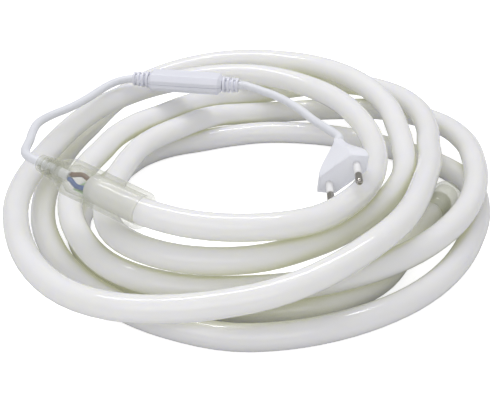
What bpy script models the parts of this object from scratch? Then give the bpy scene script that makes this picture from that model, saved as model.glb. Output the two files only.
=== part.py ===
"""Coil of round LED neon flex with its rectifier lead and two-pin plug.

The flex is one long round tube that lies in nearly six loose turns around an open eye. Its power end sits in a
clear sleeve with a ribbed gland. A round lead runs from the gland to a small rectifier box, and a second lead runs
from the box to a plug with two pins. The far end of the flex carries a clear cap. Sizes are in metres.
"""
import math

import bmesh
import bpy
from mathutils import Matrix, Vector

# Flex
FLEX_DIAMETER = 0.0140
FLEX_SIDES = 12
FLEX_STEP_DEGREES = 8.0

# Air between pieces that touch
GAP = 0.0003

# Distance between the middles of two turns that touch
PITCH = FLEX_DIAMETER + GAP

# Middle of the coil's eye, in pitches
EYE = (-0.247, 1.253)

# Each station is an angle along the coil in degrees, a distance from the middle of the eye and a height above the
# floor turns, both in pitches. The angle keeps growing from turn to turn, and 270 degrees is the front.
FLEX_STATIONS = [
    (232, 9.05, 3.50), (240, 9.15, 3.40), (248, 9.35, 3.30), (258, 9.45, 3.20), (270, 9.30, 3.10),
    (285, 8.50, 2.78), (300, 7.25, 2.42), (315, 6.33, 2.20), (330, 5.68, 2.06), (345, 5.28, 2.00),
    (360, 5.10, 1.97), (375, 5.08, 2.00), (390, 5.25, 2.02), (405, 5.62, 2.03), (420, 6.05, 2.05),
    (450, 6.90, 2.10), (480, 7.25, 2.00), (510, 7.55, 1.90), (540, 8.30, 1.65), (570, 10.30, 1.25),
    (600, 11.95, 1.00), (630, 11.35, 1.55), (660, 9.45, 2.10), (690, 7.75, 1.90), (720, 7.50, 1.60),
    (735, 8.00, 1.55), (750, 8.70, 1.50), (765, 9.15, 1.40), (780, 8.90, 1.30), (795, 7.85, 1.15),
    (810, 6.80, 1.10), (825, 6.25, 1.28), (840, 5.80, 1.35), (855, 5.60, 1.35), (870, 5.75, 1.40),
    (885, 6.00, 1.40), (900, 6.35, 1.35), (930, 8.10, 1.10), (945, 8.95, 1.00), (960, 9.75, 0.95),
    (975, 10.00, 0.95), (990, 9.90, 1.00), (1020, 9.60, 1.00), (1050, 9.40, 1.00), (1080, 9.45, 0.98),
    (1095, 9.80, 0.75), (1110, 10.00, 0.50), (1125, 9.35, 0.40), (1140, 7.90, 0.35), (1155, 6.70, 0.40),
    (1170, 5.90, 0.55), (1185, 5.35, 0.78), (1200, 4.75, 1.00), (1215, 4.60, 1.00), (1230, 4.70, 1.00),
    (1245, 4.85, 1.05), (1260, 5.05, 1.10), (1275, 5.50, 1.20), (1290, 6.35, 1.35), (1305, 7.70, 1.60),
    (1320, 9.20, 1.90), (1335, 9.80, 2.00), (1350, 9.50, 1.95), (1365, 8.45, 1.75), (1380, 7.35, 1.40),
    (1395, 6.72, 1.22), (1410, 6.50, 1.18), (1425, 6.50, 1.32), (1440, 6.42, 1.58), (1455, 6.57, 1.82),
    (1470, 7.00, 2.05), (1500, 7.90, 2.30), (1530, 8.95, 2.05), (1545, 9.15, 1.85), (1560, 9.20, 1.50),
    (1575, 8.95, 1.00), (1590, 8.60, 0.50), (1620, 8.45, 0.20), (1650, 9.15, 0.00), (1665, 9.70, 0.00),
    (1680, 10.30, 0.00), (1695, 10.95, 0.00), (1710, 11.35, 0.00), (1740, 10.75, 0.00), (1770, 9.85, 0.00),
    (1785, 9.60, 0.00), (1800, 9.25, 0.00), (1830, 7.00, 0.00), (1860, 5.60, 0.00), (1890, 4.85, 0.00),
    (1905, 4.65, 0.00), (1920, 4.65, 0.00), (1935, 5.00, 0.00), (1950, 5.35, 0.00), (1965, 5.60, 0.00),
    (1980, 5.95, 0.00), (2010, 7.85, 0.00), (2040, 9.20, 0.00), (2070, 9.75, 0.00), (2085, 9.75, 0.00),
    (2100, 9.20, 0.00), (2115, 8.25, 0.00), (2130, 7.80, 0.06), (2138, 7.85, 0.13), (2145, 8.05, 0.15),
]

# Clear sleeve on the power end
SLEEVE_LENGTH = 0.056
SLEEVE_OUTER = 0.0100
SLEEVE_BORE = 0.0078
SLEEVE_OVERLAP = 0.034

# Gland behind the sleeve
GLAND_LENGTH = 0.0150
GLAND_RADIUS = 0.0062
GLAND_END_RADIUS = 0.0046
GLAND_BORE = 0.0029
RIB_DEPTH = 0.0009

# Leads
LEAD_DIAMETER = 0.0050
LEAD_INSIDE = 0.0060
WIRE_RADIUS = 0.0013

# Rectifier box
BOX_LENGTH = 0.0480
BOX_WIDTH = 0.0165
BOX_HEIGHT = 0.0115
BOX_BEVEL = 0.0026
BOX_PLACE = (-3.12, 5.60, 2.79)
BOX_TURN_DEGREES = -9.4
RELIEF_LENGTH = 0.0100
RELIEF_RADIUS = 0.0052
RELIEF_END_RADIUS = 0.0045

# Plug
PLUG_WIDTH = 0.0353
PLUG_THICKNESS = 0.0137
PLUG_LENGTH = 0.0360
PLUG_PLACE = (3.24, -3.67, 2.89)
PLUG_TILT_DEGREES = -3.0
PLUG_ROLL_DEGREES = 40.0
# Each ring of the body is a share of the length back from the face, of the width and of the thickness
PLUG_RINGS = [
    (0.0, 1.0, 1.0), (0.14, 0.98, 1.0), (0.28, 0.89, 0.99), (0.42, 0.74, 0.95), (0.56, 0.57, 0.88),
    (0.70, 0.42, 0.78), (0.84, 0.29, 0.64), (1.0, 0.20, 0.50),
]
PIN_PITCH = 0.0186
PIN_LENGTH = 0.0190
PIN_RADIUS = 0.0020
PIN_SLEEVE_LENGTH = 0.0100

# End cap on the far end
CAP_LENGTH = 0.0280
CAP_REACH = 0.0130
CAP_RADIUS = 0.0085
CAP_END_WALL = 0.0030

FLOOR_HEIGHT = FLEX_DIAMETER / 2 * math.cos(math.pi / FLEX_SIDES)


def clear_scene():
    for thing in list(bpy.data.objects):
        bpy.data.objects.remove(thing, do_unlink=True)


def make_material(name, colour, roughness=0.3, metallic=0.0, transmission=0.0):
    material = bpy.data.materials.new(name)
    material.use_nodes = True
    shader = material.node_tree.nodes["Principled BSDF"]
    shader.inputs["Base Color"].default_value = (*colour, 1.0)
    shader.inputs["Roughness"].default_value = roughness
    shader.inputs["Metallic"].default_value = metallic
    shader.inputs["Transmission Weight"].default_value = transmission
    return material


def in_pitches(across, back, layer):
    """Place given in pitches from the middle of the coil, with its height in layers above the floor turns."""
    return Vector((across * PITCH, back * PITCH, FLOOR_HEIGHT + layer * PITCH))


def eased(before, start, end, after, column, share):
    """Value of one column between two stations, on a curve that also follows their neighbours."""
    span = end[0] - start[0]
    slope_start = (end[column] - before[column]) / (end[0] - before[0]) * span
    slope_end = (after[column] - start[column]) / (after[0] - start[0]) * span
    return (
        (2 * share**3 - 3 * share**2 + 1) * start[column]
        + (share**3 - 2 * share**2 + share) * slope_start
        + (3 * share**2 - 2 * share**3) * end[column]
        + (share**3 - share**2) * slope_end
    )


def flex_point(angle):
    """Middle of the flex at an angle along the coil."""
    last = len(FLEX_STATIONS) - 1
    index = 0
    while index < last - 1 and FLEX_STATIONS[index + 1][0] <= angle:
        index += 1
    before = FLEX_STATIONS[max(index - 1, 0)]
    start = FLEX_STATIONS[index]
    end = FLEX_STATIONS[index + 1]
    after = FLEX_STATIONS[min(index + 2, last)]
    share = (angle - start[0]) / (end[0] - start[0])
    out = eased(before, start, end, after, 1, share)
    layer = max(eased(before, start, end, after, 2, share), 0.0)
    turn = math.radians(angle)
    return in_pitches(EYE[0] + out * math.cos(turn), EYE[1] + out * math.sin(turn), layer)


def flex_route():
    first = FLEX_STATIONS[0][0]
    last = FLEX_STATIONS[-1][0]
    count = round((last - first) / FLEX_STEP_DEGREES)
    return [flex_point(first + (last - first) * i / count) for i in range(count + 1)]


def smooth_route(stops, steps):
    """Points on a smooth curve through the stops."""
    points = []
    last = len(stops) - 1
    for index in range(last):
        before = stops[max(index - 1, 0)]
        start = stops[index]
        end = stops[index + 1]
        after = stops[min(index + 2, last)]
        for step in range(steps):
            share = step / steps
            points.append(
                0.5
                * (
                    2 * start
                    + (end - before) * share
                    + (2 * before - 5 * start + 4 * end - after) * share**2
                    + (3 * start - before - 3 * end + after) * share**3
                )
            )
    points.append(stops[last].copy())
    return points


def tube(name, points, radius, bevel_resolution, tilt_degrees, material):
    """Closed round tube along the points."""
    curve = bpy.data.curves.new(name + "_path", "CURVE")
    curve.dimensions = "3D"
    curve.twist_mode = "Z_UP"
    curve.bevel_depth = radius
    curve.bevel_resolution = bevel_resolution
    curve.use_fill_caps = True
    spline = curve.splines.new("POLY")
    spline.points.add(len(points) - 1)
    for index, point in enumerate(points):
        spline.points[index].co = (*point, 1.0)
        spline.points[index].tilt = math.radians(tilt_degrees)
    holder = bpy.data.objects.new(name + "_path", curve)
    bpy.context.collection.objects.link(holder)
    graph = bpy.context.evaluated_depsgraph_get()
    mesh = bpy.data.meshes.new_from_object(holder.evaluated_get(graph))
    bpy.data.objects.remove(holder, do_unlink=True)
    shape = bmesh.new()
    shape.from_mesh(mesh)
    bmesh.ops.remove_doubles(shape, verts=shape.verts, dist=0.00001)
    bmesh.ops.recalc_face_normals(shape, faces=shape.faces)
    shape.to_mesh(mesh)
    shape.free()
    mesh.name = name
    thing = bpy.data.objects.new(name, mesh)
    bpy.context.collection.objects.link(thing)
    mesh.materials.clear()
    mesh.materials.append(material)
    return thing


def frame_along(origin, direction, up=Vector((0.0, 0.0, 1.0))):
    """Placement whose Z axis runs along the direction and whose X axis stays near level."""
    axis = direction.normalized()
    side = up.cross(axis).normalized()
    top = axis.cross(side)
    turn = Matrix((side, top, axis)).transposed().to_4x4()
    return Matrix.Translation(origin) @ turn


def placed_mesh(name, shape, placement, material):
    bmesh.ops.recalc_face_normals(shape, faces=shape.faces)
    shape.transform(placement)
    mesh = bpy.data.meshes.new(name)
    shape.to_mesh(mesh)
    shape.free()
    mesh.materials.append(material)
    thing = bpy.data.objects.new(name, mesh)
    bpy.context.collection.objects.link(thing)
    return thing


def turned(name, profile, sides, placement, material):
    """Solid of revolution about Z from a profile of (radius, height) points, closed where it meets the axis."""
    shape = bmesh.new()
    verts = [shape.verts.new((radius, 0.0, height)) for radius, height in profile]
    edges = [shape.edges.new((verts[i], verts[i + 1])) for i in range(len(verts) - 1)]
    closed = profile[0][0] > 0 and profile[-1][0] > 0
    if closed:
        edges.append(shape.edges.new((verts[-1], verts[0])))
    bmesh.ops.spin(
        shape,
        geom=verts + edges,
        cent=(0, 0, 0),
        axis=(0, 0, 1),
        angle=2 * math.pi,
        steps=sides,
        use_merge=True,
    )
    bmesh.ops.remove_doubles(shape, verts=shape.verts, dist=0.00001)
    return placed_mesh(name, shape, placement, material)


def bevelled_block(name, size, bevel, placement, material):
    shape = bmesh.new()
    bmesh.ops.create_cube(shape, size=1.0)
    bmesh.ops.scale(shape, vec=size, verts=shape.verts)
    bmesh.ops.bevel(
        shape, geom=shape.edges[:], offset=bevel, segments=2, profile=0.5, affect="EDGES", material=-1
    )
    return placed_mesh(name, shape, placement, material)


def ribbed_profile(length, radius, end_radius, bore, ribs):
    """Outline of a ribbed sleeve around a cord, from the bore's start round to the bore's end."""
    profile = [(bore, 0.0), (radius, 0.0)]
    pitch = length / (ribs + 0.5)
    for rib in range(ribs):
        share = (rib + 1) / ribs
        outer = radius + (end_radius - radius) * share
        groove = outer - RIB_DEPTH
        start = (rib + 0.5) * pitch
        profile.append((profile[-1][0], start))
        profile.append((groove, start + 0.10 * pitch))
        profile.append((groove, start + 0.45 * pitch))
        profile.append((outer, start + 0.55 * pitch))
    profile.append((end_radius, length))
    profile.append((bore, length))
    return profile


def build_flex(route, material):
    return tube("neon_flex", route, FLEX_DIAMETER / 2, 4, 180.0 / FLEX_SIDES, material)


def build_power_end(route, clear, brown, blue, board):
    """Clear sleeve, gland, two wires and the contact board. Returns the gland's outer end and direction."""
    start = route[0]
    direction = (route[0] - route[2]).normalized()
    mouth = start - direction * SLEEVE_OVERLAP
    placement = frame_along(mouth, direction)
    neck = SLEEVE_LENGTH - 0.006
    turned(
        "power_sleeve",
        [
            (SLEEVE_BORE, 0.0),
            (SLEEVE_OUTER - 0.0006, 0.0),
            (SLEEVE_OUTER, 0.0010),
            (SLEEVE_OUTER, neck),
            (0.0074, SLEEVE_LENGTH),
            (0.0048, SLEEVE_LENGTH),
            (0.0048, SLEEVE_LENGTH - 0.0016),
            (SLEEVE_BORE, neck - 0.0016),
        ],
        24,
        placement,
        clear,
    )
    gland_start = mouth + direction * (SLEEVE_LENGTH + GAP)
    turned(
        "cable_gland",
        ribbed_profile(GLAND_LENGTH, GLAND_RADIUS, GLAND_END_RADIUS, GLAND_BORE, 3),
        20,
        frame_along(gland_start, direction),
        clear,
    )
    side = placement.to_3x3() @ Vector((1.0, 0.0, 0.0))
    top = placement.to_3x3() @ Vector((0.0, 1.0, 0.0))
    lead_end = gland_start - direction * LEAD_INSIDE
    flex_end = start + direction * GAP
    for name, lift, shift, material in (
        ("brown_wire", 0.0035, -0.0012, brown),
        ("blue_wire", -0.0012, 0.0034, blue),
    ):
        at_flex = top * (lift * 0.6) + side * (shift * 0.6)
        bulge = top * lift + side * shift
        at_lead = top * (lift * 0.45) + side * (shift * 0.45)
        stops = [
            flex_end + at_flex,
            flex_end + at_flex + direction * 0.0015,
            (flex_end + lead_end) / 2 + bulge,
            lead_end + at_lead - direction * (2 * GAP + 0.0015),
            lead_end + at_lead - direction * 2 * GAP,
        ]
        tube(name, smooth_route(stops, 3), WIRE_RADIUS, 1, 0.0, material)
    return gland_start + direction * GLAND_LENGTH, direction


def build_rectifier(white):
    box_centre = in_pitches(*BOX_PLACE)
    turn = Matrix.Rotation(math.radians(BOX_TURN_DEGREES), 4, "Z")
    placement = Matrix.Translation(box_centre) @ turn
    bevelled_block("rectifier_box", (BOX_LENGTH, BOX_WIDTH, BOX_HEIGHT), BOX_BEVEL, placement, white)
    ends = []
    for name, side in (("box_relief_in", -1), ("box_relief_out", 1)):
        direction = (turn.to_3x3() @ Vector((side, 0.0, 0.0))).normalized()
        base = box_centre + direction * (BOX_LENGTH / 2 + GAP)
        turned(
            name,
            ribbed_profile(RELIEF_LENGTH, RELIEF_RADIUS, RELIEF_END_RADIUS, GLAND_BORE, 2),
            20,
            frame_along(base, direction),
            white,
        )
        ends.append((base, direction))
    return ends


def plug_outline(shape, width, thickness, height):
    """One closed ring of the plug, a long shape with pointed ends that slope at 45 degrees."""
    half_width = width / 2
    half_thickness = thickness / 2
    corner = half_thickness
    points = [
        (-half_width, 0.0),
        (-half_width + corner, -half_thickness),
        (half_width - corner, -half_thickness),
        (half_width, 0.0),
        (half_width - corner, half_thickness),
        (-half_width + corner, half_thickness),
    ]
    return [shape.verts.new((x, y, height)) for x, y in points]


def build_plug(white, pin_white, metal):
    """Plug body with a tapering back, two pins and their insulating sleeves. Returns the back end and direction."""
    face = in_pitches(*PLUG_PLACE)
    tilt = math.radians(PLUG_TILT_DEGREES)
    forward = Vector((0.0, -math.cos(tilt), math.sin(tilt)))
    roll = math.radians(PLUG_ROLL_DEGREES)
    level = Vector((1.0, 0.0, 0.0))
    up = level.cross(forward).normalized()
    if up.z < 0:
        up = -up
    long_axis = (level * math.cos(roll) + up * math.sin(roll)).normalized()
    thick_axis = forward.cross(long_axis).normalized()
    turn = Matrix((long_axis, thick_axis, forward)).transposed().to_4x4()
    placement = Matrix.Translation(face) @ turn
    shape = bmesh.new()
    rings = [
        plug_outline(shape, PLUG_WIDTH * share_wide, PLUG_THICKNESS * share_thick, -PLUG_LENGTH * share_back)
        for share_back, share_wide, share_thick in PLUG_RINGS
    ]
    for first, second in zip(rings, rings[1:]):
        for index in range(6):
            following = (index + 1) % 6
            shape.faces.new((first[index], first[following], second[following], second[index]))
    shape.faces.new(rings[0])
    shape.faces.new(reversed(rings[-1]))
    placed_mesh("plug_body", shape, placement, white)
    for name, side in (("left", -1), ("right", 1)):
        root = face + long_axis * (side * PIN_PITCH / 2) + forward * GAP
        turned(
            "pin_sleeve_" + name,
            [(0.0, 0.0), (PIN_RADIUS, 0.0), (PIN_RADIUS, PIN_SLEEVE_LENGTH), (0.0, PIN_SLEEVE_LENGTH)],
            16,
            frame_along(root, forward),
            pin_white,
        )
        tip = PIN_LENGTH - PIN_SLEEVE_LENGTH - GAP
        turned(
            "pin_" + name,
            [(0.0, 0.0), (PIN_RADIUS, 0.0), (PIN_RADIUS, tip - 0.0012), (PIN_RADIUS - 0.0010, tip), (0.0, tip)],
            16,
            frame_along(root + forward * (PIN_SLEEVE_LENGTH + GAP), forward),
            metal,
        )
    return face - forward * PLUG_LENGTH, -forward


def build_end_cap(route, clear):
    direction = (route[-1] - route[-2]).normalized()
    base = route[-1] - direction * (CAP_LENGTH - CAP_REACH)
    turned(
        "end_cap",
        [
            (FLEX_DIAMETER / 2 + GAP, 0.0),
            (CAP_RADIUS, 0.0),
            (CAP_RADIUS, CAP_LENGTH - 0.0012),
            (CAP_RADIUS - 0.0012, CAP_LENGTH),
            (0.0, CAP_LENGTH),
            (0.0, CAP_LENGTH - CAP_END_WALL),
            (FLEX_DIAMETER / 2 + GAP, CAP_LENGTH - CAP_END_WALL),
        ],
        24,
        frame_along(base, direction),
        clear,
    )


def build_leads(gland_end, gland_direction, box_ends, plug_back, plug_back_direction, white):
    box_in, box_in_direction = box_ends[0]
    box_out, box_out_direction = box_ends[1]
    lead_in_stops = [
        gland_end - gland_direction * (GLAND_LENGTH + LEAD_INSIDE),
        gland_end,
        in_pitches(-8.30, -4.03, 3.74),
        in_pitches(-8.58, -3.62, 3.71),
        in_pitches(-8.71, -3.05, 3.62),
        in_pitches(-8.75, -2.40, 3.52),
        in_pitches(-8.78, -1.75, 3.42),
        in_pitches(-8.84, -1.05, 3.33),
        in_pitches(-8.87, -0.30, 3.25),
        in_pitches(-8.84, 0.40, 3.15),
        in_pitches(-8.68, 1.10, 3.04),
        in_pitches(-8.38, 1.80, 2.94),
        in_pitches(-7.98, 2.42, 2.88),
        in_pitches(-7.60, 3.10, 2.83),
        in_pitches(-7.25, 3.80, 2.80),
        in_pitches(-6.92, 4.50, 2.79),
        in_pitches(-6.58, 5.15, 2.79),
        in_pitches(-6.14, 5.70, 2.79),
        box_in + box_in_direction * (RELIEF_LENGTH + 0.0005),
        box_in + box_in_direction * GAP,
    ]
    tube("flex_lead", smooth_route(lead_in_stops, 3), LEAD_DIAMETER / 2, 3, 0.0, white)
    lead_out_stops = [
        box_out + box_out_direction * GAP,
        box_out + box_out_direction * (RELIEF_LENGTH + 0.0005),
        box_out + box_out_direction * (RELIEF_LENGTH + 0.0050),
        in_pitches(0.85, 4.10, 2.76),
        in_pitches(1.70, 2.95, 2.75),
        in_pitches(2.45, 1.38, 2.79),
        plug_back + plug_back_direction * 0.0080,
        plug_back + plug_back_direction * 0.0020,
        plug_back + plug_back_direction * GAP,
    ]
    tube("plug_lead", smooth_route(lead_out_stops, 4), LEAD_DIAMETER / 2, 3, 0.0, white)


def main():
    clear_scene()
    flex_white = make_material("flex_white", (0.82, 0.82, 0.76), 0.25)
    clear = make_material("clear_plastic", (0.80, 0.82, 0.74), 0.12, transmission=0.9)
    lead_white = make_material("lead_white", (0.86, 0.86, 0.86), 0.45)
    box_white = make_material("box_white", (0.86, 0.87, 0.88), 0.30)
    pin_white = make_material("pin_white", (0.88, 0.89, 0.90), 0.35)
    metal = make_material("nickel", (0.72, 0.70, 0.66), 0.25, metallic=1.0)
    brown = make_material("brown_wire_skin", (0.10, 0.02, 0.015), 0.4)
    blue = make_material("blue_wire_skin", (0.01, 0.04, 0.22), 0.4)
    route = flex_route()
    build_flex(route, flex_white)
    gland_end, gland_direction = build_power_end(route, clear, brown, blue, clear)
    box_ends = build_rectifier(box_white)
    plug_back, plug_back_direction = build_plug(box_white, pin_white, metal)
    build_end_cap(route, clear)
    build_leads(gland_end, gland_direction, box_ends, plug_back, plug_back_direction, lead_white)


main()
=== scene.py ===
"""Coil of round LED neon flex with its rectifier lead and two-pin plug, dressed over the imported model.

Lengths are in metres unless a name or comment says otherwise. The flex lies in nearly six loose turns
around an open eye.
"""
import math

import bmesh
import bpy
from mathutils import Matrix, Vector


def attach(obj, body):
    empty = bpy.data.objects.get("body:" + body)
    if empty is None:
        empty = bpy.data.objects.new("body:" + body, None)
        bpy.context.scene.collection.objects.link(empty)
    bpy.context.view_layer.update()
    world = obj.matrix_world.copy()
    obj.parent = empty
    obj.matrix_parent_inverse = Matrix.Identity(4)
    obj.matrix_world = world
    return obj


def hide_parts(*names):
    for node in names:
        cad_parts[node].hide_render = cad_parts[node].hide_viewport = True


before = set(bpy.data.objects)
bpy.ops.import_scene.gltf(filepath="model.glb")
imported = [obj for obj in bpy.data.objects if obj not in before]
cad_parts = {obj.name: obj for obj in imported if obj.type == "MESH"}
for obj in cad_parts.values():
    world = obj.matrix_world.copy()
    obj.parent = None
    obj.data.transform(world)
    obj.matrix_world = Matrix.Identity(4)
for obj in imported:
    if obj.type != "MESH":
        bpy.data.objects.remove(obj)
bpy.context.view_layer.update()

# Flex, and the clearance between parts that lie against each other
FLEX_DIAMETER = 0.0140
GAP = 0.0003
PITCH = FLEX_DIAMETER + GAP

# The model's flex has this many flat sides, lies on one of them and has a ring every so many degrees
MODEL_SIDES = 12
MODEL_STEP_DEGREES = 8.0
FLOOR_HEIGHT = FLEX_DIAMETER / 2 * math.cos(math.pi / MODEL_SIDES)
FLEX_STEP_DEGREES = 3.0

# Middle of the eye, in pitches from the middle of the coil
EYE = (-0.247, 1.253)

# Angle along the coil in degrees, then distance from the middle of the eye and height above the floor
# turns, both in pitches
FLEX_STATIONS = [
    (232, 9.05, 3.50), (240, 9.15, 3.40), (248, 9.35, 3.30), (258, 9.45, 3.20), (270, 9.30, 3.10),
    (285, 8.50, 2.78), (300, 7.25, 2.42), (315, 6.33, 2.20), (330, 5.68, 2.06), (345, 5.28, 2.00),
    (360, 5.10, 1.97), (375, 5.08, 2.00), (390, 5.25, 2.02), (405, 5.62, 2.03), (420, 6.05, 2.05),
    (450, 6.90, 2.10), (480, 7.25, 2.00), (510, 7.55, 1.90), (540, 8.30, 1.65), (570, 10.30, 1.25),
    (600, 11.95, 1.00), (630, 11.35, 1.55), (660, 9.45, 2.10), (690, 7.75, 1.90), (720, 7.50, 1.60),
    (735, 8.00, 1.55), (750, 8.70, 1.50), (765, 9.15, 1.40), (780, 8.90, 1.30), (795, 7.85, 1.15),
    (810, 6.80, 1.10), (825, 6.25, 1.28), (840, 5.80, 1.35), (855, 5.60, 1.35), (870, 5.75, 1.40),
    (885, 6.00, 1.40), (900, 6.35, 1.35), (930, 8.10, 1.10), (945, 8.95, 1.00), (960, 9.75, 0.95),
    (975, 10.00, 0.95), (990, 9.90, 1.00), (1020, 9.60, 1.00), (1050, 9.40, 1.00), (1080, 9.45, 0.98),
    (1095, 9.80, 0.75), (1110, 10.00, 0.50), (1125, 9.35, 0.40), (1140, 7.90, 0.35), (1155, 6.70, 0.40),
    (1170, 5.90, 0.55), (1185, 5.35, 0.78), (1200, 4.75, 1.00), (1215, 4.60, 1.00), (1230, 4.70, 1.00),
    (1245, 4.85, 1.05), (1260, 5.05, 1.10), (1275, 5.50, 1.20), (1290, 6.35, 1.35), (1305, 7.70, 1.60),
    (1320, 9.20, 1.90), (1335, 9.80, 2.00), (1350, 9.50, 1.95), (1365, 8.45, 1.75), (1380, 7.35, 1.40),
    (1395, 6.72, 1.22), (1410, 6.50, 1.18), (1425, 6.50, 1.32), (1440, 6.42, 1.58), (1455, 6.57, 1.82),
    (1470, 7.00, 2.05), (1500, 7.90, 2.30), (1530, 8.95, 2.05), (1545, 9.15, 1.85), (1560, 9.20, 1.50),
    (1575, 8.95, 1.00), (1590, 8.60, 0.50), (1620, 8.45, 0.20), (1650, 9.15, 0.00), (1665, 9.70, 0.00),
    (1680, 10.30, 0.00), (1695, 10.95, 0.00), (1710, 11.35, 0.00), (1740, 10.75, 0.00), (1770, 9.85, 0.00),
    (1785, 9.60, 0.00), (1800, 9.25, 0.00), (1830, 7.00, 0.00), (1860, 5.60, 0.00), (1890, 4.85, 0.00),
    (1905, 4.65, 0.00), (1920, 4.65, 0.00), (1935, 5.00, 0.00), (1950, 5.35, 0.00), (1965, 5.60, 0.00),
    (1980, 5.95, 0.00), (2010, 7.85, 0.00), (2040, 9.20, 0.00), (2070, 9.75, 0.00), (2085, 9.75, 0.00),
    (2100, 9.20, 0.00), (2115, 8.25, 0.00), (2130, 7.80, 0.06), (2138, 7.85, 0.13), (2145, 8.05, 0.15),
]

# Clear sleeve on the power end
SLEEVE_LENGTH = 0.056
SLEEVE_OUTER = 0.0100
SLEEVE_BORE = 0.0078
SLEEVE_OVERLAP = 0.034
SLEEVE_NECK_LENGTH = 0.006
SLEEVE_END_RADIUS = 0.0078
SLEEVE_HOLE_RADIUS = 0.0048

# Gland behind the sleeve
GLAND_LENGTH = 0.0150
GLAND_RADIUS = 0.0062
GLAND_END_RADIUS = 0.0046
GLAND_RIBS = 5

# Ribs of the gland and of the box's reliefs, as shares of their pitch, on a collar around the lead
CORD_BORE = 0.0027
CORD_COLLAR = 0.0033
RIB_SHARE = 0.55
RIB_SOFTNESS = 0.0003
BAR_SHARE = 0.60
BAR_WIDTH = 0.0022

# The two cores that show inside the sleeve, and how far each bulges upwards and sideways
WIRE_RADIUS = 0.0013
WIRE_STUB = 0.0015
CORE_BULGES = {"brown_core": (0.0035, -0.0012), "blue_core": (-0.0012, 0.0034)}
CORE_SHARE_AT_FLEX = 0.60
CORE_SHARE_AT_LEAD = 0.45

# End of the light strip inside the sleeve, and the two contacts on it, placed from the flex's end
STRIP_SIZE = (0.0085, 0.0010, 0.0120)
STRIP_PLACE = (0.0, -0.0031, 0.0040)
STRIP_SOFTNESS = 0.0002
SOLDER_RADIUS = 0.0012
SOLDER_SQUASH = (1.0, 0.5, 1.3)
SOLDER_PLACES = [(-0.0030, -0.0026, 0.0072), (-0.0006, -0.0026, 0.0072)]

# Rectifier box
BOX_LENGTH = 0.0480
BOX_WIDTH = 0.0165
BOX_HEIGHT = 0.0115
BOX_PLACE = (-3.12, 5.60, 2.79)
BOX_TURN_DEGREES = -9.4
BOX_SIDE_CHAMFER = 0.0034
BOX_END_CHAMFER = 0.0024
BOX_EDGE_SOFTNESS = 0.0005
PARTING_LINE_WIDTH = 0.0004
PARTING_LINE_DEPTH = 0.0005
RELIEF_LENGTH = 0.0100
RELIEF_RADIUS = 0.0052
RELIEF_END_RADIUS = 0.0045
RELIEF_RIBS = 4

# Plug, with each ring of its body as a share of the length back from the face, the width and the thickness
PLUG_WIDTH = 0.0353
PLUG_THICKNESS = 0.0137
PLUG_LENGTH = 0.0360
PLUG_PLACE = (3.24, -3.67, 2.89)
PLUG_TILT_DEGREES = -3.0
PLUG_ROLL_DEGREES = 40.0
PLUG_EDGE_SOFTNESS = 0.0008
PLUG_RINGS = [
    (0.0, 1.0, 1.0), (0.14, 0.98, 1.0), (0.28, 0.89, 0.99), (0.42, 0.74, 0.95), (0.56, 0.57, 0.88),
    (0.70, 0.42, 0.78), (0.84, 0.29, 0.64), (1.0, 0.20, 0.50),
]
PIN_PITCH = 0.0186
PIN_LENGTH = 0.0190
PIN_RADIUS = 0.0020
PIN_SLEEVE_LENGTH = 0.0100

# Face of the plug, 0.4 mm below its thin rim: how much narrower and thinner than the body each ring is, and
# its height
PLUG_RIM = [
    (0.0030, 0.0020, -0.0004), (0.0026, 0.0017, 0.0), (0.0010, 0.0007, 0.0), (0.0003, 0.0002, -0.0002),
    (0.0, 0.0, -0.0007),
]

# Leads, and the places that they pass between their ends, in pitches
LEAD_DIAMETER = 0.0050
LEAD_INSIDE = 0.0060
LEAD_STEPS = 8
LEAD_CLEAR_OF_RELIEF = 0.0005
LEAD_STRAIGHT_OUT = 0.0050
LEAD_STRAIGHT_IN = (0.0080, 0.0020)
TO_BOX_STOPS = [
    (-8.30, -4.03, 3.74), (-8.58, -3.62, 3.71), (-8.71, -3.05, 3.62), (-8.75, -2.40, 3.52),
    (-8.78, -1.75, 3.42), (-8.84, -1.05, 3.33), (-8.87, -0.30, 3.25), (-8.84, 0.40, 3.15),
    (-8.68, 1.10, 3.04), (-8.38, 1.80, 2.94), (-7.98, 2.42, 2.88), (-7.60, 3.10, 2.83),
    (-7.25, 3.80, 2.80), (-6.92, 4.50, 2.79), (-6.58, 5.15, 2.79), (-6.14, 5.70, 2.79),
]
TO_PLUG_STOPS = [(0.85, 4.10, 2.76), (1.70, 2.95, 2.75), (2.45, 1.38, 2.79)]

# Clear cap on the far end, which reaches past the flex, and how far it is rounded at its rim and its end
CAP_LENGTH = 0.0280
CAP_REACH = 0.0130
CAP_RADIUS = 0.0085
CAP_END_WALL = 0.0030
CAP_RIM_SOFTNESS = 0.0003
CAP_CORNER_SOFTNESS = 0.0014

# Camera, fitted to the photograph, and the light
CAMERA_PLACE = (-0.0035, -0.5891, 0.3238)
CAMERA_DOWN_DEGREES = 28.5
CAMERA_LENS_MM = 80.9
CAMERA_SENSOR_MM = 36.0
SKY_STRENGTH = 0.46
SWEEP_GLOW = 0.75
SWEEP_DROP = 0.0002
LIGHT_COLOUR = (0.97, 0.96, 1.0)

# Place of each light, its width and depth, and its power in watts
LIGHTS = {
    "key": ((-0.05, 0.35, 1.0), (1.1, 0.11), 5.4),
    "fill": ((-0.1, -0.75, 0.5), (1.2, 0.5), 2.1),
}

# Meshes: vertices closer than this are one, and faces that meet at more than this angle meet in a sharp edge
MERGE_DISTANCE = 0.000005
SHARP_DEGREES = 38

# Sockets of a Mix node that mixes colours
MIX_FIRST = 6
MIX_SECOND = 7
MIX_RESULT = 2

UP = Vector((0.0, 0.0, 1.0))


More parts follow.
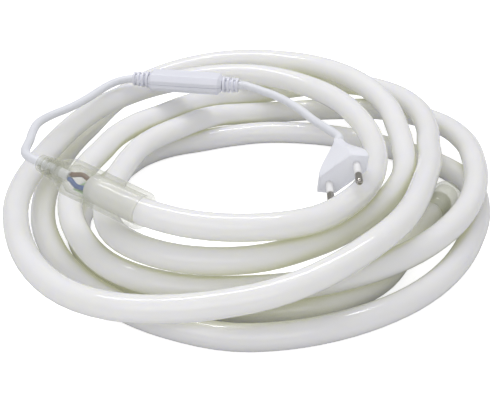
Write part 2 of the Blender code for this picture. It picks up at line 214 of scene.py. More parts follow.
def linear(hex_colour):
    """Linear RGBA from an sRGB hex value."""
    digits = hex_colour.lstrip("#")
    channels = []
    for start in (0, 2, 4):
        value = int(digits[start:start + 2], 16) / 255
        channels.append(value / 12.92 if value <= 0.04045 else ((value + 0.055) / 1.055) ** 2.4)
    return (*channels, 1.0)


def in_pitches(across, back, layer):
    """Place given in pitches from the middle of the coil, with its height in layers above the floor turns."""
    return Vector((across * PITCH, back * PITCH, FLOOR_HEIGHT + layer * PITCH))


def eased(before, start, end, after, column, share):
    """Value of one column between two stations, on a curve that also follows their neighbours."""
    span = end[0] - start[0]
    slope_start = (end[column] - before[column]) / (end[0] - before[0]) * span
    slope_end = (after[column] - start[column]) / (after[0] - start[0]) * span
    return (
        (2 * share**3 - 3 * share**2 + 1) * start[column]
        + (share**3 - 2 * share**2 + share) * slope_start
        + (3 * share**2 - 2 * share**3) * end[column]
        + (share**3 - share**2) * slope_end
    )


def flex_point(angle):
    """Middle of the flex at an angle along the coil."""
    last = len(FLEX_STATIONS) - 1
    index = 0
    while index < last - 1 and FLEX_STATIONS[index + 1][0] <= angle:
        index += 1
    before = FLEX_STATIONS[max(index - 1, 0)]
    start = FLEX_STATIONS[index]
    end = FLEX_STATIONS[index + 1]
    after = FLEX_STATIONS[min(index + 2, last)]
    share = (angle - start[0]) / (end[0] - start[0])
    out = eased(before, start, end, after, 1, share)
    layer = max(eased(before, start, end, after, 2, share), 0.0)
    turn = math.radians(angle)
    return in_pitches(EYE[0] + out * math.cos(turn), EYE[1] + out * math.sin(turn), layer)


def flex_route(step_degrees):
    """Points along the middle of the flex, from the power end to the far end."""
    first = FLEX_STATIONS[0][0]
    last = FLEX_STATIONS[-1][0]
    count = round((last - first) / step_degrees)
    return [flex_point(first + (last - first) * i / count) for i in range(count + 1)]


def smooth_route(stops, steps):
    """Points on a smooth curve through the stops."""
    points = []
    last = len(stops) - 1
    for index in range(last):
        before = stops[max(index - 1, 0)]
        start = stops[index]
        end = stops[index + 1]
        after = stops[min(index + 2, last)]
        for step in range(steps):
            share = step / steps
            points.append(
                0.5
                * (
                    2 * start
                    + (end - before) * share
                    + (2 * before - 5 * start + 4 * end - after) * share**2
                    + (3 * start - before - 3 * end + after) * share**3
                )
            )
    points.append(stops[last].copy())
    return points


def frame_along(origin, direction):
    """Placement whose Z axis runs along the direction and whose X axis is level."""
    axis = direction.normalized()
    side = UP.cross(axis).normalized()
    top = axis.cross(side)
    turn = Matrix((side, top, axis)).transposed().to_4x4()
    return Matrix.Translation(origin) @ turn


def set_values(node, values):
    """Set a node's inputs and properties by name, with an underscore for a space in an input's name."""
    for name, value in values.items():
        socket = name.replace("_", " ")
        if socket in node.inputs:
            node.inputs[socket].default_value = value
        else:
            setattr(node, name, value)


def add_node(tree, kind, links=(), colours=(), **values):
    """Add a node with its values, the hex colours that it mixes, and (output socket, input) links to it."""
    made = tree.nodes.new(kind)
    set_values(made, values)
    for socket, colour in zip((MIX_FIRST, MIX_SECOND), colours):
        made.inputs[socket].default_value = linear(colour)
    for source, target in links:
        tree.links.new(source, made.inputs[target])
    return made


def new_material(name, **values):
    """Material, its node tree and its shader, whose sockets take the values that are the same all over."""
    material = bpy.data.materials.new(name)
    material.use_nodes = True
    tree = material.node_tree
    shader = tree.nodes["Principled BSDF"]
    set_values(shader, values)
    return material, tree, shader


def add_piece(name, mesh, material):
    """Object of a mesh in one material."""
    mesh.materials.append(material)
    piece = bpy.data.objects.new(name, mesh)
    bpy.context.collection.objects.link(piece)
    return piece


def clean_up(shape):
    """Merge the doubles in a bmesh and turn its faces outwards."""
    bmesh.ops.remove_doubles(shape, verts=shape.verts, dist=MERGE_DISTANCE)
    bmesh.ops.recalc_face_normals(shape, faces=shape.faces)


def finish_shape(name, shape, material, placement, smooth=True):
    """Turn a bmesh into an object whose place is in its mesh."""
    clean_up(shape)
    shape.transform(placement)
    mesh = bpy.data.meshes.new(name)
    shape.to_mesh(mesh)
    shape.free()
    for polygon in mesh.polygons:
        polygon.use_smooth = smooth
    mesh.set_sharp_from_angle(angle=math.radians(SHARP_DEGREES))
    return add_piece(name, mesh, material)


def even_shading(piece):
    """Let the large faces set the shading, so that bevelled facets look flat."""
    modifier = piece.modifiers.new("even_shading", "WEIGHTED_NORMAL")
    modifier.keep_sharp = True
    return piece


def soften(shape, edges, offset, segments):
    """Bevel edges inside a bmesh."""
    bmesh.ops.bevel(
        shape, geom=edges, offset=offset, segments=segments, profile=0.5, affect="EDGES", material=-1
    )


def spin_profile(shape, profile, sides):
    """Revolve (radius, height) points about Z inside a bmesh, closing an outline that misses the axis."""
    verts = [shape.verts.new((radius, 0.0, height)) for radius, height in profile]
    edges = [shape.edges.new((verts[i], verts[i + 1])) for i in range(len(verts) - 1)]
    if profile[0][0] > 0 and profile[-1][0] > 0:
        edges.append(shape.edges.new((verts[-1], verts[0])))
    bmesh.ops.spin(
        shape,
        geom=verts + edges,
        cent=(0, 0, 0),
        axis=(0, 0, 1),
        angle=2 * math.pi,
        steps=sides,
        use_merge=True,
    )


def turned(name, profile, sides, placement, material):
    """Piece revolved from (radius, height) points."""
    shape = bmesh.new()
    spin_profile(shape, profile, sides)
    return finish_shape(name, shape, material, placement)


def block(shape, size, place):
    """Plain block inside a bmesh."""
    made = bmesh.ops.create_cube(shape, size=1.0)["verts"]
    bmesh.ops.scale(shape, vec=size, verts=made)
    bmesh.ops.translate(shape, vec=place, verts=made)


def tube_mesh(name, points, radius, bevel_resolution, material):
    """Round tube along the points with closed ends and a UV map along and around it."""
    curve = bpy.data.curves.new(name + "_path", "CURVE")
    curve.dimensions = "3D"
    curve.twist_mode = "Z_UP"
    curve.bevel_depth = radius
    curve.bevel_resolution = bevel_resolution
    curve.use_fill_caps = True
    spline = curve.splines.new("POLY")
    spline.points.add(len(points) - 1)
    for index, point in enumerate(points):
        spline.points[index].co = (*point, 1.0)
    holder = bpy.data.objects.new(name + "_path", curve)
    bpy.context.collection.objects.link(holder)
    graph = bpy.context.evaluated_depsgraph_get()
    mesh = bpy.data.meshes.new_from_object(holder.evaluated_get(graph))
    bpy.data.objects.remove(holder, do_unlink=True)
    shape = bmesh.new()
    shape.from_mesh(mesh)
    clean_up(shape)
    shape.to_mesh(mesh)
    shape.free()
    mesh.name = name
    mesh.materials.clear()
    for polygon in mesh.polygons:
        polygon.use_smooth = len(polygon.vertices) == 4
    return add_piece(name, mesh, material)


# Materials


def patches(millimetres):
    """Scale, to the nearest ten, of a noise on Object coordinates whose patches are this far across."""
    return round(1000 / millimetres, -1)


def bands(millimetres):
    """Scale, to the nearest ten, of a wave on Object coordinates whose straight bands are this far apart."""
    return round(1000 * math.pi / 10 / millimetres, -1)


def milky_pvc():
    """Extruded flexible PVC, milky and glossy, with painted olive shade and a painted glow in the places
    between the turns.
    """
    material, tree, shader = new_material(
        "milky_flex_pvc",
        Roughness=0.10,
        IOR=1.53,
        Subsurface_Weight=1.0,
        Subsurface_Radius=(1.0, 1.0, 0.80),
        Subsurface_Scale=0.012,
        # Strength of the painted glow between the turns
        Emission_Strength=0.21,
    )
    coordinates = add_node(tree, "ShaderNodeTexCoord")
    place = coordinates.outputs["Object"]
    cloud = add_node(
        tree, "ShaderNodeTexNoise", [(place, "Vector")], Scale=patches(25), Detail=3.0, Roughness=0.5
    )
    milk = add_node(
        tree, "ShaderNodeMix", [(cloud.outputs["Fac"], "Factor")], ("#EFEFED", "#F6F6F5"), data_type="RGBA"
    )
    # How openly a place lies, from 0 between turns to 1 where the sky reaches it
    reach = add_node(tree, "ShaderNodeAmbientOcclusion", samples=8, only_local=True, Distance=0.055)
    share = add_node(
        tree, "ShaderNodeMapRange", [(reach.outputs["AO"], "Value")], From_Min=0.08, From_Max=0.50
    )
    # Painted shade: the milky colour turns olive-grey #BCBD9A where the turns hide each other from the sky
    tint = add_node(
        tree,
        "ShaderNodeMix",
        [(share.outputs["Result"], "Factor"), (milk.outputs[MIX_RESULT], MIX_SECOND)],
        ("#BCBD9A",),
        data_type="RGBA",
    )
    tree.links.new(tint.outputs[MIX_RESULT], shader.inputs["Base Color"])
    # Painted glow: a pale olive emission that lifts the places between the turns, strongest where they lie
    # least open
    painted_glow = add_node(
        tree, "ShaderNodeMix", [(share.outputs["Result"], "Factor")], ("#D0D0C2", "#000000"), data_type="RGBA"
    )
    tree.links.new(painted_glow.outputs[MIX_RESULT], shader.inputs["Emission Color"])
    # Draw marks of the die run along the flex, about 20 mm long and 0.8 mm apart round it
    around = add_node(
        tree, "ShaderNodeMapping", [(coordinates.outputs["UV"], "Vector")], Scale=(200.0, 55.0, 1.0)
    )
    marks = add_node(
        tree, "ShaderNodeTexNoise", [(around.outputs["Vector"], "Vector")], Scale=1.0, Detail=1.0
    )
    bump = add_node(
        tree, "ShaderNodeBump", [(marks.outputs["Fac"], "Height")], Strength=0.10, Distance=0.0002
    )
    tree.links.new(bump.outputs["Normal"], shader.inputs["Normal"])
    return material


def clear_pvc(name, haze_light, haze_dark, thinnest):
    """Injection moulded clear PVC, thin and hazy, denser where seen edge on, with faint flow ripples."""
    material, tree, shader = new_material(
        name, Roughness=0.10, IOR=1.54, Coat_Weight=0.6, Coat_Roughness=0.05
    )
    place = add_node(tree, "ShaderNodeTexCoord").outputs["Object"]
    ripple = add_node(tree, "ShaderNodeTexNoise", [(place, "Vector")], Scale=patches(5.9), Detail=1.0)
    bump = add_node(
        tree, "ShaderNodeBump", [(ripple.outputs["Fac"], "Height")], Strength=0.20, Distance=0.0006
    )
    tree.links.new(bump.outputs["Normal"], shader.inputs["Normal"])
    haze = add_node(
        tree, "ShaderNodeMix", [(ripple.outputs["Fac"], "Factor")], (haze_dark, haze_light), data_type="RGBA"
    )
    tree.links.new(haze.outputs[MIX_RESULT], shader.inputs["Base Color"])
    edge = add_node(tree, "ShaderNodeLayerWeight", Blend=0.35)
    density = add_node(
        tree, "ShaderNodeMapRange", [(edge.outputs["Facing"], "Value")], To_Min=thinnest, To_Max=0.62
    )
    tree.links.new(density.outputs["Result"], shader.inputs["Alpha"])
    return material


def white_moulding(name, light, shade, roughness):
    """Moulded white plastic, ABS or PVC, with a fine spark-eroded grain that dulls its gloss."""
    material, tree, shader = new_material(name, Roughness=roughness, IOR=1.52)
    place = add_node(tree, "ShaderNodeTexCoord").outputs["Object"]
    # Flow of the melt
    flow = add_node(tree, "ShaderNodeTexNoise", [(place, "Vector")], Scale=patches(11), Detail=3.0)
    tint = add_node(
        tree, "ShaderNodeMix", [(flow.outputs["Fac"], "Factor")], (shade, light), data_type="RGBA"
    )
    tree.links.new(tint.outputs[MIX_RESULT], shader.inputs["Base Color"])
    # Grain of 0.5 mm, coarser than the real 0.1 mm so that it shows
    grain = add_node(tree, "ShaderNodeTexNoise", [(place, "Vector")], Scale=patches(0.5), Detail=2.0)
    bump = add_node(
        tree, "ShaderNodeBump", [(grain.outputs["Fac"], "Height")], Strength=0.15, Distance=0.0001
    )
    tree.links.new(bump.outputs["Normal"], shader.inputs["Normal"])
    return material


def cable_sheath():
    """Extruded white PVC sheath, satin, with the lay of its cores faint in bands 35 to 60 mm apart."""
    material, tree, shader = new_material("white_cable_sheath", Roughness=0.38, IOR=1.53)
    coordinates = add_node(tree, "ShaderNodeTexCoord")
    place = coordinates.outputs["Object"]
    cloud = add_node(tree, "ShaderNodeTexNoise", [(place, "Vector")], Scale=patches(8.3), Detail=2.0)
    tint = add_node(
        tree, "ShaderNodeMix", [(cloud.outputs["Fac"], "Factor")], ("#E8EAF0", "#F1F3F7"), data_type="RGBA"
    )
    tree.links.new(tint.outputs[MIX_RESULT], shader.inputs["Base Color"])
    # The UV map has one unit along the whole lead, and so a band takes 0.3 of its length
    lay = add_node(
        tree, "ShaderNodeMapping", [(coordinates.outputs["UV"], "Vector")], Scale=(6.0, 2.0, 1.0)
    )
    waves = add_node(
        tree, "ShaderNodeTexWave", [(lay.outputs["Vector"], "Vector")], bands_direction="DIAGONAL", Scale=0.35
    )
    bump = add_node(
        tree, "ShaderNodeBump", [(waves.outputs["Fac"], "Height")], Strength=0.10, Distance=0.0002
    )
    tree.links.new(bump.outputs["Normal"], shader.inputs["Normal"])
    return material


def nickel_plate():
    """Nickel plated brass pin, turned and bright, with fine rings from the lathe across its length."""
    material, tree, shader = new_material("nickel_plate", Metallic=1.0)
    place = add_node(tree, "ShaderNodeTexCoord").outputs["Object"]
    # Rings 0.5 mm apart, coarser than real tool marks so that they show
    rings = add_node(
        tree,
        "ShaderNodeTexWave",
        [(place, "Vector")],
        bands_direction="Y",
        Scale=bands(0.507),
        Distortion=0.4,
    )
    tint = add_node(
        tree, "ShaderNodeMix", [(rings.outputs["Fac"], "Factor")], ("#9A968E", "#C2BFB8"), data_type="RGBA"
    )
    tree.links.new(tint.outputs[MIX_RESULT], shader.inputs["Base Color"])
    # Smears from handling
    smear = add_node(tree, "ShaderNodeTexNoise", [(place, "Vector")], Scale=patches(2), Detail=2.0)
    gloss = add_node(
        tree, "ShaderNodeMapRange", [(smear.outputs["Fac"], "Value")], To_Min=0.10, To_Max=0.22
    )
    tree.links.new(gloss.outputs["Result"], shader.inputs["Roughness"])
    bump = add_node(
        tree, "ShaderNodeBump", [(rings.outputs["Fac"], "Height")], Strength=0.10, Distance=0.0001
    )
    tree.links.new(bump.outputs["Normal"], shader.inputs["Normal"])
    return material


def core_insulation(name, light, dark):
    """Extruded coloured PVC on a single core, satin, with cloudy pigment."""
    material, tree, shader = new_material(name, Roughness=0.32, IOR=1.53)
    place = add_node(tree, "ShaderNodeTexCoord").outputs["Object"]
    cloud = add_node(tree, "ShaderNodeTexNoise", [(place, "Vector")], Scale=patches(1.67), Detail=3.0)
    tint = add_node(
        tree, "ShaderNodeMix", [(cloud.outputs["Fac"], "Factor")], (dark, light), data_type="RGBA"
    )
    tree.links.new(tint.outputs[MIX_RESULT], shader.inputs["Base Color"])
    bump = add_node(
        tree, "ShaderNodeBump", [(cloud.outputs["Fac"], "Height")], Strength=0.10, Distance=0.0001
    )
    tree.links.new(bump.outputs["Normal"], shader.inputs["Normal"])
    return material


def strip_laminate():
    """Flexible circuit laminate of the light strip, pale green lacquer over a 0.6 mm weave."""
    material, tree, shader = new_material("pale_green_laminate", Roughness=0.30, IOR=1.50)
    place = add_node(tree, "ShaderNodeTexCoord").outputs["Object"]
    # Diagonal bands lie 2 / sqrt(3) times as far apart as straight ones, so these are the 0.6 mm of the weave
    weave = add_node(
        tree,
        "ShaderNodeTexWave",
        [(place, "Vector")],
        bands_direction="DIAGONAL",
        Scale=bands(0.507),
    )
    tint = add_node(
        tree, "ShaderNodeMix", [(weave.outputs["Fac"], "Factor")], ("#8FC08A", "#B2DBA6"), data_type="RGBA"
    )
    tree.links.new(tint.outputs[MIX_RESULT], shader.inputs["Base Color"])
    return material


def solder():
    """Bright tin solder, dull where it froze, on the strip's contacts."""
    material, tree, shader = new_material("tin_solder", Metallic=1.0, Base_Color=linear("#C4C4C2"))
    place = add_node(tree, "ShaderNodeTexCoord").outputs["Object"]
    frost = add_node(tree, "ShaderNodeTexNoise", [(place, "Vector")], Scale=patches(1.11), Detail=2.0)
    gloss = add_node(
        tree, "ShaderNodeMapRange", [(frost.outputs["Fac"], "Value")], To_Min=0.20, To_Max=0.45
    )
    tree.links.new(gloss.outputs["Result"], shader.inputs["Roughness"])
    return material


def paper_sweep():
    """Matt white paper, lit from behind as on a light table, which the piece on it doesn't see."""
    material, tree, shader = new_material(
        "white_paper_sweep",
        Base_Color=linear("#E2E2E2"),
        Roughness=0.9,
        Specular_IOR_Level=0.0,
        Emission_Color=(1.0, 1.0, 1.0, 1.0),
    )
    seen = add_node(tree, "ShaderNodeLightPath")
    glow = add_node(tree, "ShaderNodeMath", [(seen.outputs["Is Camera Ray"], 0)], operation="MULTIPLY")
    glow.inputs[1].default_value = SWEEP_GLOW
    tree.links.new(glow.outputs["Value"], shader.inputs["Emission Strength"])
    return material


# Camera, floor and light


def make_camera():
    """Camera where the photograph was taken from."""
    data = bpy.data.cameras.new("camera")
    data.sensor_width = CAMERA_SENSOR_MM
    data.lens = CAMERA_LENS_MM
    data.clip_start = 0.01
    camera = bpy.data.objects.new("camera", data)
    camera.location = CAMERA_PLACE
    camera.rotation_euler = (math.radians(90 - CAMERA_DOWN_DEGREES), 0.0, 0.0)
    bpy.context.collection.objects.link(camera)
    bpy.context.scene.camera = camera


def make_light(name, place, size, power):
    """Rectangular light that faces the middle of the coil."""
    data = bpy.data.lights.new(name, "AREA")
    data.shape = "RECTANGLE"
    data.size, data.size_y = size
    data.energy = power
    data.color = LIGHT_COLOUR
    light = bpy.data.objects.new(name, data)
    light.location = place
    light.rotation_euler = (-Vector(place)).to_track_quat("-Z", "Y").to_euler()
    bpy.context.collection.objects.link(light)


def make_studio():
    """White sky, the sweep under the coil and the two lights."""
    world = bpy.data.worlds.new("studio")
    world.use_nodes = True
    set_values(world.node_tree.nodes["Background"], {"Color": (1.0, 1.0, 1.0, 1.0), "Strength": SKY_STRENGTH})
    bpy.context.scene.world = world
    bpy.context.scene.view_settings.view_transform = "Standard"
    shape = bmesh.new()
    bmesh.ops.create_grid(shape, x_segments=1, y_segments=1, size=3.0)
    below = Matrix.Translation((0.0, 0.0, -SWEEP_DROP))
    floor = finish_shape("floor", shape, paper_sweep(), below, smooth=False)
    for name, (place, size, power) in LIGHTS.items():
        make_light(name, place, size, power)


# Pieces


def dress(piece, node):
    """Let a piece stand for a node of the model: hide the node's part and attach the piece to the root body.
    """
    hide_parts(node)
    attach(piece, "root")
    return piece


def make_cap(route, material):
    """Clear cup over the far end, with a softened rim and a thick end wall."""
    direction = (route[-1] - route[-2]).normalized()
    base = route[-1] - direction * (CAP_LENGTH - CAP_REACH)
    bore = FLEX_DIAMETER / 2 + GAP
    floor = CAP_LENGTH - CAP_END_WALL
    profile = [
        (bore, CAP_RIM_SOFTNESS),
        (bore + CAP_RIM_SOFTNESS, 0.0),
        (CAP_RADIUS - CAP_RIM_SOFTNESS, 0.0),
        (CAP_RADIUS, 0.0004),
        (CAP_RADIUS, CAP_LENGTH - CAP_CORNER_SOFTNESS),
        (CAP_RADIUS - 0.0004, CAP_LENGTH - 0.0005),
        (CAP_RADIUS - 0.0013, CAP_LENGTH),
        (0.0, CAP_LENGTH),
        (0.0, floor),
        (bore - 0.0006, floor),
        (bore, floor - 0.0006),
    ]
    return turned("end_cap_cup", profile, 72, frame_along(base, direction), material)


def make_flex(material, cap_material):
    """Flex in its turns, with the cap on its far end."""
    route = flex_route(FLEX_STEP_DEGREES)
    flex = dress(tube_mesh("flex", route, FLEX_DIAMETER / 2, 14, material), "neon_flex")
    cap = dress(make_cap(flex_route(MODEL_STEP_DEGREES), cap_material), "end_cap")


def ribbed_relief(name, length, radius, end_radius, ribs, placement, material):
    """Tapered strain relief of ribs on a thin collar, joined in turn at the sides and at top and bottom."""
    pitch = length / (ribs - 1 + RIB_SHARE)
    outers = [radius + (end_radius - radius) * rib / (ribs - 1) for rib in range(ribs)]
    profile = [(CORD_BORE, 0.0)]
    for rib, outer in enumerate(outers):
        start = rib * pitch
        end = start + RIB_SHARE * pitch
        rounded = outer - RIB_SOFTNESS
        profile += [(rounded, start), (outer, start + RIB_SOFTNESS)]
        profile += [(outer, end - RIB_SOFTNESS), (rounded, end)]
        if rib < ribs - 1:
            profile += [(CORD_COLLAR, end), (CORD_COLLAR, start + pitch)]
    profile.append((CORD_BORE, length))
    shape = bmesh.new()
    spin_profile(shape, profile, 48)
    for slot, outer in enumerate(outers[1:]):
        reach = outer - RIB_SOFTNESS
        depth = reach - CORD_COLLAR
        middle = (CORD_COLLAR + reach) / 2
        height = (slot + (1 + RIB_SHARE) / 2) * pitch
        for side in (-1, 1):
            across = side * middle
            if slot % 2:
                block(shape, (depth, BAR_WIDTH, BAR_SHARE * pitch), (across, 0.0, height))
            else:
                block(shape, (BAR_WIDTH, depth, BAR_SHARE * pitch), (0.0, across, height))
    return finish_shape(name, shape, material, placement)


def make_sleeve(placement, material):
    """Clear sleeve with a short tapered neck, whose end wall is open for the lead."""
    neck = SLEEVE_LENGTH - SLEEVE_NECK_LENGTH
    profile = [
        (SLEEVE_BORE, 0.0003),
        (SLEEVE_BORE + 0.0003, 0.0),
        (SLEEVE_OUTER - 0.0006, 0.0),
        (SLEEVE_OUTER - 0.0001, 0.0004),
        (SLEEVE_OUTER, 0.0010),
        (SLEEVE_OUTER, neck - 0.0010),
        (SLEEVE_OUTER - 0.0002, neck),
        (SLEEVE_OUTER - 0.0007, neck + 0.0012),
        (SLEEVE_END_RADIUS, SLEEVE_LENGTH - 0.0006),
        (SLEEVE_END_RADIUS - 0.0006, SLEEVE_LENGTH),
        (SLEEVE_HOLE_RADIUS, SLEEVE_LENGTH),
        (SLEEVE_HOLE_RADIUS, SLEEVE_LENGTH - 0.0016),
        (SLEEVE_BORE - 0.0008, neck - 0.0014),
        (SLEEVE_BORE, neck - 0.0026),
    ]
    dress(turned("clear_sleeve", profile, 72, placement, material), "power_sleeve")


def make_core(name, flex_end, lead_end, direction, turn, material):
    """One core from the flex's end to the lead's end, straight at both and bulging between them."""
    lift, shift = CORE_BULGES[name]
    bulge = turn @ Vector((shift, lift, 0.0))
    at_flex = flex_end + bulge * CORE_SHARE_AT_FLEX
    at_lead = lead_end + bulge * CORE_SHARE_AT_LEAD - direction * 2 * GAP
    stops = [
        at_flex,
        at_flex + direction * WIRE_STUB,
        (flex_end + lead_end) / 2 + bulge,
        at_lead - direction * WIRE_STUB,
        at_lead,
    ]
    core = tube_mesh(name, smooth_route(stops, 8), WIRE_RADIUS, 6, material)
    node = name.replace("core", "wire")
    dress(core, node)


def make_strip(placement, laminate, tin):
    """End of the light strip and the two soldered contacts on it."""
    shape = bmesh.new()
    block(shape, STRIP_SIZE, STRIP_PLACE)
    soften(shape, shape.edges[:], STRIP_SOFTNESS, 2)
    strip = finish_shape("light_strip_end", shape, laminate, placement)
    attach(strip, "root")
    shape = bmesh.new()
    for place in SOLDER_PLACES:
        made = bmesh.ops.create_uvsphere(shape, u_segments=24, v_segments=12, radius=SOLDER_RADIUS)["verts"]
        bmesh.ops.scale(shape, vec=SOLDER_SQUASH, verts=made)
        bmesh.ops.translate(shape, vec=place, verts=made)
    pads = finish_shape("strip_solder", shape, tin, placement)
    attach(pads, "root")


def make_power_end(start, direction, clear, cores, laminate, tin):
    """Clear sleeve over the flex's end, the strip's end and two cores inside it, and the gland behind it."""
    mouth = start - direction * SLEEVE_OVERLAP
    placement = frame_along(mouth, direction)
    make_sleeve(placement, clear)
    gland_start = mouth + direction * (SLEEVE_LENGTH + GAP)
    gland_placement = frame_along(gland_start, direction)
    gland = ribbed_relief(
        "gland", GLAND_LENGTH, GLAND_RADIUS, GLAND_END_RADIUS, GLAND_RIBS, gland_placement, clear
    )
    dress(gland, "cable_gland")
    flex_end = start + direction * GAP
    lead_end = gland_start - direction * LEAD_INSIDE
    for name, material in cores.items():
        make_core(name, flex_end, lead_end, direction, placement.to_3x3(), material)
    make_strip(frame_along(start, direction), laminate, tin)
    return gland_start + direction * GLAND_LENGTH


def make_box(white):
    """Rectifier box with wide chamfers and a parting line, and the two ribbed reliefs at its ends."""
    centre = in_pitches(*BOX_PLACE)
    turn = Matrix.Rotation(math.radians(BOX_TURN_DEGREES), 4, "Z")
    placement = Matrix.Translation(centre) @ turn
    shape = bmesh.new()
    block(shape, (BOX_LENGTH, BOX_WIDTH, BOX_HEIGHT), (0.0, 0.0, 0.0))
    long_edges = [edge for edge in shape.edges if edge.calc_length() > BOX_LENGTH / 2]
    soften(shape, long_edges, BOX_SIDE_CHAMFER, 1)
    end_edges = [edge for edge in shape.edges if edge.calc_length() < BOX_LENGTH / 2]
    soften(shape, end_edges, BOX_END_CHAMFER, 1)
    soften(shape, shape.edges[:], BOX_EDGE_SOFTNESS, 2)
    for height in (-PARTING_LINE_WIDTH / 2, PARTING_LINE_WIDTH / 2):
        everything = shape.verts[:] + shape.edges[:] + shape.faces[:]
        bmesh.ops.bisect_plane(shape, geom=everything, plane_co=(0, 0, height), plane_no=(0, 0, 1))
    band = [face for face in shape.faces if abs(face.calc_center_median().z) < PARTING_LINE_WIDTH / 4]
    bmesh.ops.recalc_face_normals(shape, faces=shape.faces)
    bmesh.ops.inset_region(
        shape, faces=band, thickness=0.00002, depth=-PARTING_LINE_DEPTH, use_even_offset=True
    )
    box = even_shading(finish_shape("rectifier", shape, white, placement))
    dress(box, "rectifier_box")
    ends = []
    for name, side in (("box_relief_in", -1), ("box_relief_out", 1)):
        direction = (turn.to_3x3() @ Vector((side, 0.0, 0.0))).normalized()
        base = centre + direction * (BOX_LENGTH / 2 + GAP)
        relief = ribbed_relief(
            name + "_rings",
            RELIEF_LENGTH,
            RELIEF_RADIUS,
            RELIEF_END_RADIUS,
            RELIEF_RIBS,
            frame_along(base, direction),
            white,
        )
        ends.append((base, direction, dress(relief, name)))
    return box, ends


def plug_ring(shape, width, thickness, height):
    """One closed ring of the plug, six-sided with pointed ends that slope at 45 degrees."""
    half_width = width / 2
    half_thickness = thickness / 2
    flat = half_width - half_thickness
    corners = [
        (-half_width, 0.0),
        (-flat, -half_thickness),
        (flat, -half_thickness),
        (half_width, 0.0),
        (flat, half_thickness),
        (-flat, half_thickness),
    ]
    verts = [shape.verts.new((x, y, height)) for x, y in corners]
    return [shape.edges.new((verts[i], verts[(i + 1) % 6])) for i in range(6)]


def plug_body(placement, material):
    """Plug body with convex shoulders and a rimmed face."""
    shape = bmesh.new()
    rings = [
        plug_ring(shape, PLUG_WIDTH - narrower, PLUG_THICKNESS - thinner, height)
        for narrower, thinner, height in PLUG_RIM
    ]
    rings += [
        plug_ring(shape, PLUG_WIDTH * wide, PLUG_THICKNESS * thick, -PLUG_LENGTH * back)
        for back, wide, thick in smooth_route([Vector(ring) for ring in PLUG_RINGS], 4)[1:]
    ]
    for first, second in zip(rings, rings[1:]):
        bmesh.ops.bridge_loops(shape, edges=first + second)
    bmesh.ops.edgeloop_fill(shape, edges=rings[0])
    bmesh.ops.edgeloop_fill(shape, edges=rings[-1])
    bmesh.ops.recalc_face_normals(shape, faces=shape.faces)
    in_ring = {edge for ring in rings for edge in ring}
    # The edges right behind the rim are too short to be softened
    along = [edge for edge in shape.edges if edge not in in_ring and edge.calc_length() > 0.0003]
    soften(shape, along, PLUG_EDGE_SOFTNESS, 3)
    return even_shading(finish_shape("plug", shape, material, placement))


def make_pin(name, root, forward, pin_white, metal):
    """One pin's insulating sleeve and its bare tip."""
    cover_profile = [
        (0.0, -0.0004),
        (PIN_RADIUS, -0.0004),
        (PIN_RADIUS, PIN_SLEEVE_LENGTH - 0.0003),
        (PIN_RADIUS - 0.0003, PIN_SLEEVE_LENGTH),
        (0.0, PIN_SLEEVE_LENGTH),
    ]
    cover = turned("pin_cover_" + name, cover_profile, 40, frame_along(root, forward), pin_white)
    dress(cover, "pin_sleeve_" + name)
    tip = PIN_LENGTH - PIN_SLEEVE_LENGTH - GAP
    contact_profile = [
        (0.0, -GAP),
        (PIN_RADIUS - 0.0005, -GAP),
        (PIN_RADIUS - 0.0005, 0.0004),
        (PIN_RADIUS, 0.0006),
        (PIN_RADIUS, tip - 0.0016),
        (PIN_RADIUS - 0.0002, tip - 0.0009),
        (PIN_RADIUS - 0.0006, tip - 0.0004),
        (PIN_RADIUS - 0.0012, tip - 0.0001),
        (0.0, tip),
    ]
    contact_place = frame_along(root + forward * (PIN_SLEEVE_LENGTH + GAP), forward)
    contact = turned("pin_contact_" + name, contact_profile, 40, contact_place, metal)
    dress(contact, "pin_" + name)
    return [cover, contact]


def make_plug(white, pin_white, metal):
    """Plug body, two pins and their insulating sleeves, and where the lead meets the body."""
    face = in_pitches(*PLUG_PLACE)
    tilt = math.radians(PLUG_TILT_DEGREES)
    roll = math.radians(PLUG_ROLL_DEGREES)
    level = Vector((1.0, 0.0, 0.0))
    forward = Vector((0.0, -math.cos(tilt), math.sin(tilt)))
    up = forward.cross(level).normalized()
    long_axis = (level * math.cos(roll) + up * math.sin(roll)).normalized()
    thick_axis = forward.cross(long_axis).normalized()
    turn = Matrix((long_axis, thick_axis, forward)).transposed().to_4x4()
    body = plug_body(Matrix.Translation(face) @ turn, white)
    pieces = [dress(body, "plug_body")]
    for name, side in (("left", -1), ("right", 1)):
        root = face + long_axis * (side * PIN_PITCH / 2) + forward * GAP
        pieces += make_pin(name, root, forward, pin_white, metal)
    return face - forward * PLUG_LENGTH, -forward, pieces


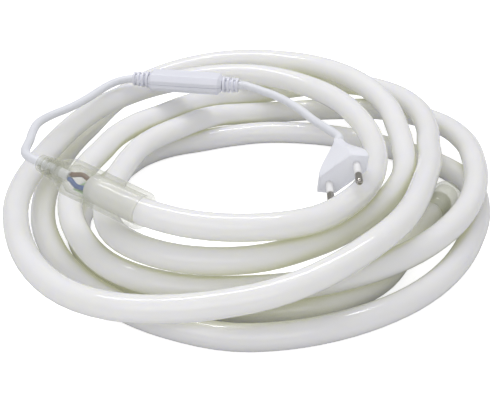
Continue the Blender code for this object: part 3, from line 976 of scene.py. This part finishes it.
def make_lead_to_box(gland_end, gland_direction, box_ends, sheath):
    """Lead from the gland to the rectifier box."""
    box_in, in_direction, relief_in = box_ends[0]
    first_route = smooth_route(
        [
            gland_end - gland_direction * (GLAND_LENGTH + LEAD_INSIDE),
            gland_end,
            *(in_pitches(*stop) for stop in TO_BOX_STOPS),
            box_in + in_direction * (RELIEF_LENGTH + LEAD_CLEAR_OF_RELIEF),
            box_in + in_direction * GAP,
        ],
        LEAD_STEPS,
    )
    first = dress(
        tube_mesh("lead_to_box", first_route, LEAD_DIAMETER / 2, 8, sheath), "flex_lead"
    )


def make_lead_to_plug(box_ends, plug_back, plug_direction, sheath):
    """Lead from the rectifier box to the plug."""
    box_out, out_direction = box_ends[1][:2]
    second_route = smooth_route(
        [
            box_out + out_direction * GAP,
            box_out + out_direction * (RELIEF_LENGTH + LEAD_CLEAR_OF_RELIEF),
            box_out + out_direction * (RELIEF_LENGTH + LEAD_STRAIGHT_OUT),
            *(in_pitches(*stop) for stop in TO_PLUG_STOPS),
            *(plug_back + plug_direction * away for away in LEAD_STRAIGHT_IN),
            plug_back + plug_direction * GAP,
        ],
        LEAD_STEPS,
    )
    second = dress(
        tube_mesh("lead_to_plug", second_route, LEAD_DIAMETER / 2, 8, sheath), "plug_lead"
    )


def main():
    make_camera()
    clear = clear_pvc("clear_sleeve_pvc", "#E2E4D4", "#C2C4AC", 0.04)
    make_flex(milky_pvc(), clear_pvc("clear_cap_pvc", "#E6E8D4", "#CCCFB4", 0.15))
    white = white_moulding("white_moulded_abs", "#EFF0F7", "#E8EAF3", 0.32)
    plug_white = white_moulding("white_plug_pvc", "#FAFBFF", "#F2F4FC", 0.34)
    pin_white = white_moulding("white_pin_insulation", "#F7F7F6", "#EFEFEE", 0.36)
    cores = {
        "brown_core": core_insulation("brown_core_insulation", "#6A1E10", "#4E1409"),
        "blue_core": core_insulation("blue_core_insulation", "#2560B8", "#194A92"),
    }
    model_route = flex_route(MODEL_STEP_DEGREES)
    direction = (model_route[0] - model_route[2]).normalized()
    gland_end = make_power_end(model_route[0], direction, clear, cores, strip_laminate(), solder())
    box, box_ends = make_box(white)
    plug_back, plug_direction, plug_pieces = make_plug(plug_white, pin_white, nickel_plate())
    sheath = cable_sheath()
    make_lead_to_box(gland_end, direction, box_ends, sheath)
    make_lead_to_plug(box_ends, plug_back, plug_direction, sheath)
    make_studio()


main()
